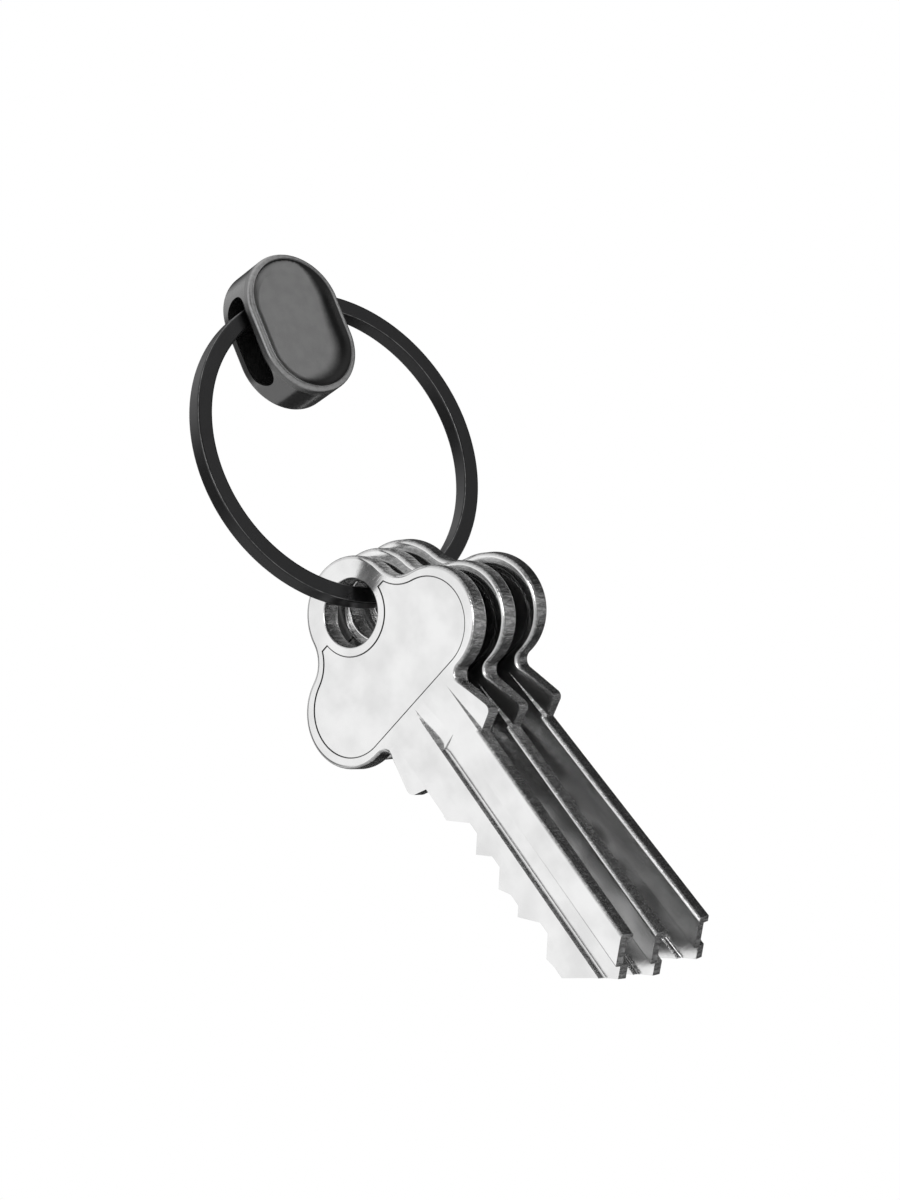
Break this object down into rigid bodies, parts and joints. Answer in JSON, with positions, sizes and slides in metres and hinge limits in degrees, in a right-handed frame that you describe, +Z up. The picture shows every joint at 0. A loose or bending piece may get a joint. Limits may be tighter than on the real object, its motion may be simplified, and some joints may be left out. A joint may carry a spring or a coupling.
{
  "type": "quick-release key ring with keys",
  "caption": "Flat spring-steel hoop closed by a slotted oval clasp, with flat cylinder keys hanging from it.",
  "frame": {"origin": "middle of the clasp, where a thumb and finger hold it", "axes": "+Z up, with the keys hanging straight down; the clasp's dished face and the hoop's front look towards -Y"},
  "size_m": [0.033, 0.0249, 0.0814],
  "materials": {
    "clasp": "satin gunmetal",
    "pin": "turned",
    "hoop": "satin black",
    "key": "bright nickel"
  },
  "bodies": {
    "ring": {"clasp_body": "clasp", "retaining_pin": "pin", "hoop_fixed_arm": "hoop"},
    "free_arm": {"hoop_free_arm": "hoop"},
    "front_key": {"key_front": "key"},
    "middle_key": {"key_middle": "key"},
    "rear_key": {"key_rear": "key"}
  },
  "joints": [
    {"name": "hoop_squeeze", "type": "hinge", "parent": "ring", "child": "free_arm", "pos_m": [-0.0142, 0.00166, -0.00596], "axis": [0, 0.9542, 0.299], "range_deg": [0, 12], "stiffness_Nm_per_rad": 0.5},
    {"name": "front_key_swing", "type": "hinge", "parent": "ring", "child": "front_key", "pos_m": [-0.00453, 0.00812, -0.02658], "axis": [-0.9509, -0.2997, 0.0768], "range_deg": [-50, 50]},
    {"name": "middle_key_swing", "type": "hinge", "parent": "ring", "child": "middle_key", "pos_m": [-0.00153, 0.0083, -0.02715], "axis": [-0.9548, -0.297, 0.0074], "range_deg": [-50, 50]},
    {"name": "rear_key_swing", "type": "hinge", "parent": "ring", "child": "rear_key", "pos_m": [0.00177, 0.00829, -0.02713], "axis": [-0.9411, -0.3281, -0.0813], "range_deg": [-50, 50]}
  ]
}
